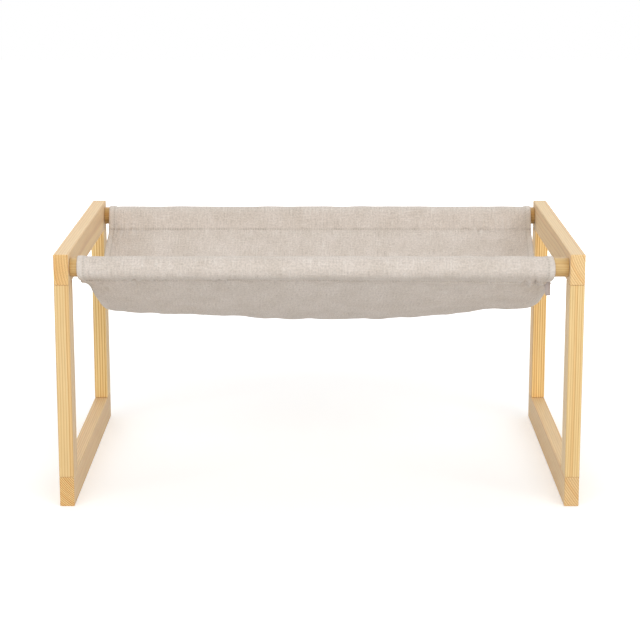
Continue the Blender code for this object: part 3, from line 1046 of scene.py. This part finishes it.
def pucker(end_name, seed):
    """Height of the puckers of one seam, on the panel, the inner and the outer flank."""
    from_outer = np.abs(along - along[STITCH_ROWS[end_name]])
    from_inner = np.abs(along - along[INNER_STITCH_ROWS[end_name]])
    sign = np.where(from_outer < from_inner, -1.0, 1.0)
    away = np.minimum(from_outer, from_inner)
    crossing = waves(across, along, PUCKER_LENGTH, seed, across_only=True)
    group = PUCKER_LEAST
    for place, reach in PUCKER_GROUPS[end_name]:
        group = group + np.exp(-(((smooth_path[..., 0] - place * MM) / (reach * MM)) ** 2))
    return sign * PUCKER_HEIGHT * crossing * group * np.exp(-away / PUCKER_REACH)


for end_name, seed in PUCKER_SEEDS.items():
    relief = relief + pucker(end_name, seed)
print("with puckers up to", highest(relief), "mm")

# %% [markdown]
# The weight on the cloth pulls hardest at the four corners of the panel, where it hangs from
# the ends of the sleeves. Creases fan out from each corner, strongest a little way from it.
# In polar coordinates round the corner a fan is a cosine of the angle alone. A few single soft
# folds are placed as well, where the photograph shows them.

# %% Corner creases and soft folds
CORNER_HEIGHT = 0.75 * MM
CORNER_REACH = 38 * MM
CORNER_START = 14 * MM
FOLD_FADE = 0.4
# Each corner: side, end, number of creases in the fan, how strong
CORNERS = [
    ("left", "front", 11, 1.0),
    ("right", "front", 10, 1.0),
    ("left", "rear", 13, 1.5),
    ("right", "rear", 12, 0.8),
]
# Each fold: start and end as metres from the left edge and metres behind the front seam,
# its height and its half width
SOFT_FOLDS = [
    (0.335, 0.010, 0.290, 0.100, 0.7 * MM, 6 * MM),
    (0.120, 0.010, 0.140, 0.090, 0.4 * MM, 6 * MM),
    (0.430, 0.010, 0.450, 0.090, -0.4 * MM, 6 * MM),
    (0.060, 0.010, 0.085, 0.085, -0.5 * MM, 6 * MM),
    (0.008, 0.352, 0.040, 0.388, 1.2 * MM, 2.4 * MM),
    (0.010, 0.350, 0.058, 0.374, 1.1 * MM, 2.4 * MM),
    (0.012, 0.346, 0.072, 0.358, 1.0 * MM, 2.6 * MM),
    (0.500, 0.020, 0.530, 0.060, 0.6 * MM, 3.5 * MM),
]


def corner_fan(side_name, end_name, count, strength):
    """cos(count x angle) times a bell of the distance from the corner, on the panel only."""
    down = np.abs(along - along[SEAM_ROWS[end_name]])
    sideways = across if side_name == "left" else width_here - across
    away = np.hypot(sideways, down)
    angle = np.arctan2(down, sideways + 1e-6)
    swell = np.exp(-away / CORNER_REACH) * smooth_step(away / CORNER_START)
    return on_panel * strength * CORNER_HEIGHT * np.cos(count * angle) * swell


def soft_fold(x0, s0, x1, s1, height, half_width):
    """A ridge along a line: a bell of the distance from it, fading at its two ends."""
    depth = along - along[SEAM_ROWS["front"]]
    length = math.hypot(x1 - x0, s1 - s0)
    ahead = ((across - x0) * (x1 - x0) + (depth - s0) * (s1 - s0)) / length
    beside = ((across - x0) * (s1 - s0) - (depth - s0) * (x1 - x0)) / length
    fade = 1.0
    for inside in (ahead, length - ahead):
        fade = fade * smooth_step(inside / (FOLD_FADE * length) + 0.5)
    return on_panel * height * fade * np.exp(-((beside / half_width) ** 2))


for corner in CORNERS:
    relief = relief + corner_fan(*corner)
for fold in SOFT_FOLDS:
    relief = relief + soft_fold(*fold)
print("with creases and folds up to", highest(relief), "mm")

# %% [markdown]
# A row of stitches pulls the cloth in, so it lies in a narrow groove: along the seams of the
# sleeves, and along the side hems. The grooves are a bell of the distance from each line. The
# same bells are kept for the canvas, which gets a painted shade there: darker in the grooves
# and darkest at the holes.

# %% Stitch grooves
GROOVE_DEPTH = 0.35 * MM
GROOVE_WIDTH = 0.9 * MM
HEM_STITCH_INSET = 6.4 * MM

seam_bell = np.zeros((ROWS, COLUMNS))
for rows_of in (STITCH_ROWS, INNER_STITCH_ROWS):
    for row in rows_of.values():
        seam_bell = np.maximum(seam_bell, np.exp(-(((along - along[row]) / GROOVE_WIDTH) ** 2)))
from_hem_line = np.minimum(across, width_here - across) - HEM_STITCH_INSET
hem_bell = np.exp(-((from_hem_line / GROOVE_WIDTH) ** 2))
relief = relief - GROOVE_DEPTH * np.maximum(seam_bell, hem_bell)
print("groove depth", GROOVE_DEPTH / MM, "mm")

# %% [markdown]
# The relief moves each point along the cloth's normal, which is the cross product of the steps
# to its neighbours across and along. Then the cloth gets its thickness. A Solidify modifier
# gives one thickness, but hems need their own, so both faces are made here: the middle surface
# plus and minus half the local thickness. Rounded edge lines close the shell all round.

# %% Cloth shell
row_thickness = np.full((ROWS, 1), CANVAS_THICKNESS)
row_thickness[:ROWS_HEM] = row_thickness[-ROWS_HEM:] = TAIL_THICKNESS
half_cloth = np.maximum(side_thickness, row_thickness)[..., None] / 2


def unit(vectors):
    """Vectors of length 1."""
    return vectors / np.linalg.norm(vectors, axis=-1, keepdims=True)


def normals_of(grid):
    """Unit normals of a grid of points: the step across crossed with the step along."""
    return unit(np.cross(np.gradient(grid, axis=1), np.gradient(grid, axis=0)))


def edges_of(values, inset=0):
    """The left, right, front and rear line of a grid, or the lines some steps inside them."""
    return [values[:, inset], values[:, -1 - inset], values[inset], values[-1 - inset]]


def edge_lines(middle, half):
    """The four edges, each moved on past its inner neighbour by half the thickness."""
    lines = zip(edges_of(middle), edges_of(middle, 1), edges_of(half))
    return [edge + unit(edge - inner) * reach for edge, inner, reach in lines]


def on_shell(face, back, edges):
    """Values of a shell's points, in order: both sides of the grid and the four edge lines."""
    sides = [side.reshape(-1, *side.shape[2:]) for side in (face, back)]
    return np.concatenate(sides + edges)


middle = smooth_path + normals_of(smooth_path) * relief[..., None]
normal = normals_of(middle)
face_side = middle + normal * half_cloth
back_side = middle - normal * half_cloth
print("highest point of the cloth", round(float(face_side[..., 2].max()), 4))

# %% [markdown]
# The faces join neighbours in the grid. The face side is wound one way and the back the other,
# and the four edge lines are stitched to both. The cloth also carries a UV map in metres,
# measured along the cloth itself, so that the weave bends with it.

# %% Sling mesh
def shell_faces(rows, columns):
    """Quads of both sides, of the strips along the four edges, and of the four corners."""
    count = rows * columns
    top = np.arange(count).reshape(rows, columns)
    under = top + count
    left = 2 * count + np.arange(rows)
    right = left + rows
    front = 2 * (count + rows) + np.arange(columns)
    rear = front + columns

    def strip(near, far):
        """Quads between two lines of points, or between many pairs of lines at once."""
        return np.stack([near[:-1], near[1:], far[1:], far[:-1]], axis=-1).reshape(-1, 4)

    quads = [strip(top[:-1].T, top[1:].T), strip(under[:, :-1], under[:, 1:])]
    for over, edge, below in (
        (top[:, 0], left, under[:, 0]),
        (top[::-1, -1], right[::-1], under[::-1, -1]),
        (top[0, ::-1], front[::-1], under[0, ::-1]),
        (top[-1], rear, under[-1]),
    ):
        quads += [strip(over, edge), strip(edge, below)]
    corners = [
        (top[0, 0], left[0], under[0, 0], front[0]),
        (top[0, -1], front[-1], under[0, -1], right[0]),
        (top[-1, 0], rear[0], under[-1, 0], left[-1]),
        (top[-1, -1], right[-1], under[-1, -1], rear[-1]),
    ]
    return np.concatenate(quads + [np.array(corners)]).tolist()


cloth_uv = np.stack([across, along], axis=-1)
sling_points = on_shell(face_side, back_side, edge_lines(middle, half_cloth))
sling_uv = on_shell(cloth_uv, cloth_uv, edges_of(cloth_uv))
sling_faces = shell_faces(ROWS, COLUMNS)
print("faces of the sling", len(sling_faces))

# %% [markdown]
# The canvas is a plain weave of undyed yarn: each thread goes over one and under the next. The
# height of such a weave can be written down: across the cloth a row of round threads, along it
# another, and which of the two is on top changes like a chessboard. Hand-spun looking yarn is
# uneven, so thin and thick stretches of single threads show as short streaks both ways, and
# these carry most of the colour change that is seen from a step away.

# %% Canvas
STITCH_PITCH = 3.2 * MM
THREAD_PITCH = 0.72 * MM
YARN_SWAY = 0.5 * MM
CANVAS_COLOUR = (0.672, 0.600, 0.537)
CANVAS_SHADE = (0.460, 0.398, 0.340)
CANVAS_SLUB = (0.785, 0.735, 0.675)
CANVAS_SPECK = (0.36, 0.28, 0.20)
# Painted shade for the stitch grooves, darkest at the needle holes
PAINTED_GROOVE_SHADE = (0.270, 0.220, 0.180)
CANVAS_FINISH = {
    "IOR": 1.45,
    "Specular_IOR_Level": 0.25,
    "Sheen_Weight": 0.32,
    "Sheen_Roughness": 0.55,
}


def make_canvas():
    """Plain weave from the UV map in metres, with slubs, mottling and fuzz."""
    material, recipe = new_material("linen_canvas", **CANVAS_FINISH)
    place = recipe.node("ShaderNodeUVMap", {"uv_map": "cloth"})
    u = recipe.node("ShaderNodeSeparateXYZ", {}, [place], "X")
    v = u.output("Y")

    def noise(across, along, shift=(0, 0, 0), detail=2.0):
        """Noise with so many features in a metre across the cloth and along it."""
        return recipe.noise(place, (across, along, 1.0), shift, detail)

    def kept(name):
        """A share from 0 to 1 that the sling's points carry under this name."""
        return recipe.node("ShaderNodeAttribute", {"attribute_name": name}, output="Fac")

    def holes(line, run):
        """A stitch line, strongest where a cosine along it puts the needle holes."""
        return line * ((run * (2 * math.pi / STITCH_PITCH)).math("COSINE") * 0.5 + 0.5)

    sway = (noise(160.0, 160.0, detail=1.0) - 0.5) * YARN_SWAY
    warp_phase = (u + sway) * (math.pi / THREAD_PITCH)
    weft_phase = (v + sway) * (math.pi / THREAD_PITCH)
    warp, weft = warp_phase.math("SINE"), weft_phase.math("SINE")
    over = warp_phase.math("COSINE") * weft_phase.math("COSINE") * 0.5 + 0.5
    weave = warp * warp * over + weft * weft * (1 - over)

    warp_yarn = noise(560.0, 60.0)
    weft_yarn = noise(52.0, 520.0, (3.1, 7.7, 0))
    warp_slub = recipe.ramp(warp_yarn, (0.54, 0.0), (0.68, 1.0))
    weft_slub = recipe.ramp(weft_yarn, (0.56, 0.0), (0.70, 1.0))
    thin = recipe.ramp(warp_yarn * 0.6 + weft_yarn * 0.4, (0.34, 1.0), (0.47, 0.0))
    grain = noise(430.0, 430.0, (5.0, 1.0, 0))
    mottle = noise(34.0, 34.0, detail=3.0)
    speck = noise(1500.0, 1500.0, (9.0, 2.0, 0), 1.0)
    speck = recipe.ramp(speck, (0.70, 0.0), (0.76, 1.0))

    seam, hem = kept("seam"), kept("hem")
    # Painted shade along the stitch lines, patchy on the seams and darkest at the holes; the same
    # mask also deepens the grooves' bumps
    patch = recipe.ramp(noise(55.0, 55.0, (2.0, 6.0, 0)), (0.38, 0.5), (0.66, 1.9))
    groove_and_painted_shade = 0.30 * hem + 0.45 * holes(hem, v) + (0.20 * seam + 0.26 * holes(seam, u)) * patch

    colour = recipe.mix(thin * 0.42, CANVAS_COLOUR, CANVAS_SHADE)
    colour = recipe.mix(warp_slub * 0.40 + weft_slub * 0.34, colour, CANVAS_SLUB)
    colour = recipe.mix(speck * 0.35, colour, CANVAS_SPECK)
    colour = recipe.times(colour, recipe.ramp(grain, (0.30, 0.90), (0.70, 1.07)))
    colour = recipe.times(colour, recipe.ramp(weave, (0.0, 0.80), (0.6, 1.03)))
    shade = recipe.ramp(mottle, (0.3, (0.955, 0.945, 0.93)), (0.7, (1.035, 1.035, 1.04)))
    colour = recipe.times(colour, shade)
    # Painted highlight: the side hems and the sleeve ends are painted paler
    colour = recipe.mix(kept("folded") * 0.30, colour, CANVAS_SLUB)
    # Painted shade in the stitch grooves and holes
    colour = recipe.mix(groove_and_painted_shade * 0.75, colour, PAINTED_GROOVE_SHADE)
    height = 0.55 * weave + 0.35 * warp_slub + 0.28 * weft_slub + 0.25 * grain
    height = height + 0.15 * mottle - 0.8 * groove_and_painted_shade
    recipe.finish(colour, 0.86 + 0.08 * mottle, height, 0.25 * MM, 0.7)
    return material


canvas = make_canvas()
sling = new_piece("canvas_sling", sling_points, sling_faces, canvas, uv=sling_uv)
# Where the canvas gets its painted highlight: the side hems, along the sleeve ends too
folded = hem_share + 0 * seam_bell
for name, values in (("seam", seam_bell), ("hem", hem_bell), ("folded", folded)):
    attribute = sling.data.attributes.new(name, "FLOAT", "POINT")
    spread = on_shell(values, values, edges_of(values))
    attribute.data.foreach_set("value", spread.astype(np.float32))
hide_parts("sling")
print("sling volume in ml", face_outwards(sling))

# %% [markdown]
# Stitches are what makes a hem look sewn. Each one is a short thread that dives into the cloth
# at both ends. There are over a thousand, so each has only a few faces: four rings of six
# points and two end caps. All stitches of a row are worked out together from a line of points
# on the cloth and the cloth's normal along it.

# %% Stitches
STITCH_LENGTH = 2.5 * MM
STITCH_RADIUS = 0.24 * MM
STITCH_RISE = 0.20 * MM
STITCH_SINK = 0.10 * MM
RING_SHARES = np.array([0.0, 0.2, 0.8, 1.0])
RING_RADII = np.array([0.4, 1.0, 1.0, 0.4])
STITCH_SIDES = 6


def stitch_row(line, normal, places):
    """Points and faces of the stitches along one line on the cloth.

    Places are the line's distances along the cloth. A stitch lies midway between two holes, and
    the holes lie at whole numbers of stitch pitches. A ring's middle lies at its share t of the
    stitch and rises above the cloth by rise x (1 - (2t - 1)^2) - sink.
    """
    numbers = np.arange(math.ceil(places[0] / STITCH_PITCH), int(places[-1] / STITCH_PITCH))
    starts = (numbers + 0.5) * STITCH_PITCH - STITCH_LENGTH / 2
    wanted = starts[:, None] + RING_SHARES * STITCH_LENGTH

    def sample(values):
        """A line's values at every ring of every stitch."""
        return np.stack([np.interp(wanted, places, values[:, k]) for k in range(3)], axis=-1)

    middle = sample(line)
    up = unit(sample(normal))
    forward = unit(middle[:, -1:] - middle[:, :1]) + 0 * middle
    side = unit(np.cross(forward, up))
    up = np.cross(side, forward)
    rise = STITCH_RISE * (1 - (2 * RING_SHARES - 1) ** 2) - STITCH_SINK
    middle = middle + up * rise[None, :, None]
    angle = np.arange(STITCH_SIDES) * (2 * math.pi / STITCH_SIDES)
    spokes = (
        np.cos(angle)[None, None, :, None] * side[:, :, None, :]
        + np.sin(angle)[None, None, :, None] * up[:, :, None, :]
    )
    rings = middle[:, :, None, :] + spokes * (STITCH_RADIUS * RING_RADII)[None, :, None, None]

    index = np.arange(rings[..., 0].size).reshape(rings.shape[:3])
    following = np.roll(index, -1, axis=2)
    quads = np.stack([index[:, :-1], index[:, 1:], following[:, 1:], following[:, :-1]], axis=-1)
    faces = quads.reshape(-1, 4).tolist()
    faces += index[:, 0].tolist()
    faces += index[:, -1, ::-1].tolist()
    return rings.reshape(-1, 3), faces


def joined_rows(rows):
    """Several rows of stitches as one array of points and one list of faces."""
    points, faces, used = [], [], 0
    for row_points, row_faces in rows:
        points.append(row_points)
        faces += [[used + corner for corner in face] for face in row_faces]
        used += len(row_points)
    return np.concatenate(points), faces


print("stitches of", STITCH_LENGTH / MM, "mm every", STITCH_PITCH / MM, "mm")

# %% [markdown]
# Cotton thread is twisted, so it is striped by a fine slant of light and dark. On a thread
# half a millimetre thick a noise at that scale is enough.

# %% Thread
THREAD_COLOUR = (0.76, 0.69, 0.60)
THREAD_SHADE = (0.58, 0.50, 0.42)


def make_thread():
    """Cotton thread: two tones after a fine noise."""
    material, recipe = new_material("cotton_thread", Specular_IOR_Level=0.3)
    twist = recipe.noise(recipe.position(), (2600.0,) * 3, detail=1.0)
    colour = recipe.mix(twist, THREAD_COLOUR, THREAD_SHADE)
    recipe.finish(colour, 0.7 + 0.2 * twist, twist, 0.05 * MM, 0.6)
    return material


thread = make_thread()
print("thread ready")

# %% [markdown]
# One row of stitches runs along each side hem, over both sleeves and down the panel, and a
# second one below the panel, where the same thread shows on the back of the cloth. Two more
# run along each sleeve's seam: one outside on the folded hem, and one on the face in the bed.

# %% Stitch rows
SEAM_STITCH_MARGIN = 3
PANEL_SPAN = slice(ROWS_SLEEVE - ROWS_HEM, ROWS - ROWS_SLEEVE + ROWS_HEM)
SEAM_SPAN = slice(SEAM_STITCH_MARGIN, COLUMNS - SEAM_STITCH_MARGIN)

hem_rows = []
for from_edge in (across, width_here - across):
    # The column of the grid that lies nearest to the hem's stitch line
    column = int(np.abs(from_edge - HEM_STITCH_INSET).mean(axis=0).argmin())
    hem_rows.append(stitch_row(face_side[:, column], normal[:, column], along[:, column]))
    back_line, back_normal = back_side[PANEL_SPAN, column], -normal[PANEL_SPAN, column]
    hem_rows.append(stitch_row(back_line, back_normal, along[PANEL_SPAN, column]))
points, faces = joined_rows(hem_rows)
hem_stitches = new_piece("side_hem_stitches", points, faces, thread)

seam_rows = []
for end_name in ENDS:
    for row in (STITCH_ROWS[end_name], INNER_STITCH_ROWS[end_name]):
        line, line_normal = face_side[row, SEAM_SPAN], normal[row, SEAM_SPAN]
        seam_rows.append(stitch_row(line, line_normal, across[row, SEAM_SPAN]))
points, faces = joined_rows(seam_rows)
seam_stitches = new_piece("sleeve_seam_stitches", points, faces, thread)
for piece in (hem_stitches, seam_stitches):
    face_outwards(piece)
    print(piece.name, len(piece.data.polygons), "faces")

# %% [markdown]
# A small bare tab of ribbon is sewn under the right end of the front sleeve. It is folded in
# half, so it is a narrow loop: down in front, round at the bottom and up again. Its surface
# has one parameter round this flat loop and one along its width.

# %% Ribbon tab
TAB_WIDTH = 5.2 * MM
TAB_DROP = 15.8 * MM
TAB_PLACE = (261.0 * MM, -172.6 * MM, 259.0 * MM)
TAB_THICKNESS = 0.45 * MM
TAB_FOLD = 0.45 * MM
TAB_ROUNDING = 1.15
TAB_CURL = 0.4 * MM
# How far the tab swings back and sideways for each metre that it hangs down
TAB_SLANT = 0.04
TAB_SWING = 0.03
TAB_ROWS = 26
TAB_COLUMNS = 8
RIBBON = (0.52, 0.45, 0.43)
RIBBON_RIB = (0.42, 0.37, 0.35)
RIB_PITCH = 0.6 * MM


def tab_middle():
    """A ribbon folded in half: x across it, and the fold's outline in depth and height."""
    share = np.linspace(0.0, 1.0, TAB_ROWS)[:, None]
    leg = np.abs(2 * share - 1)
    side = np.sin((share - 0.5) * math.pi)
    height = -TAB_DROP * (1 - leg**TAB_ROUNDING)
    width = np.linspace(-0.5, 0.5, TAB_COLUMNS)[None, :]
    depth = TAB_FOLD * side - TAB_SLANT * height
    x = TAB_PLACE[0] + TAB_WIDTH * width - TAB_SWING * height
    y = TAB_PLACE[1] + depth + TAB_CURL * (2 * width) ** 2
    z = TAB_PLACE[2] + height + 0 * width
    return np.stack([x, y, z], axis=-1)


def make_ribbon():
    """Ribbon with fine ribs along X: a sine of the height in two tones."""
    material, recipe = new_material("ribbon", Specular_IOR_Level=0.3)
    height = recipe.node("ShaderNodeSeparateXYZ", {}, [recipe.position()], "Z")
    rib = (height * (2 * math.pi / RIB_PITCH)).math("SINE") * 0.5 + 0.5
    colour = recipe.mix(rib, RIBBON_RIB, RIBBON)
    recipe.finish(colour, 0.6 + 0.2 * rib, rib, 0.08 * MM, 0.5)
    return material


ribbon = tab_middle()
half_tab = np.full((TAB_ROWS, TAB_COLUMNS, 1), TAB_THICKNESS / 2)
offset = normals_of(ribbon) * half_tab
points = on_shell(ribbon + offset, ribbon - offset, edge_lines(ribbon, half_tab))
faces = shell_faces(TAB_ROWS, TAB_COLUMNS)
tab = new_piece("ribbon_tab", points, faces, make_ribbon())
print("tab volume in ml", face_outwards(tab))
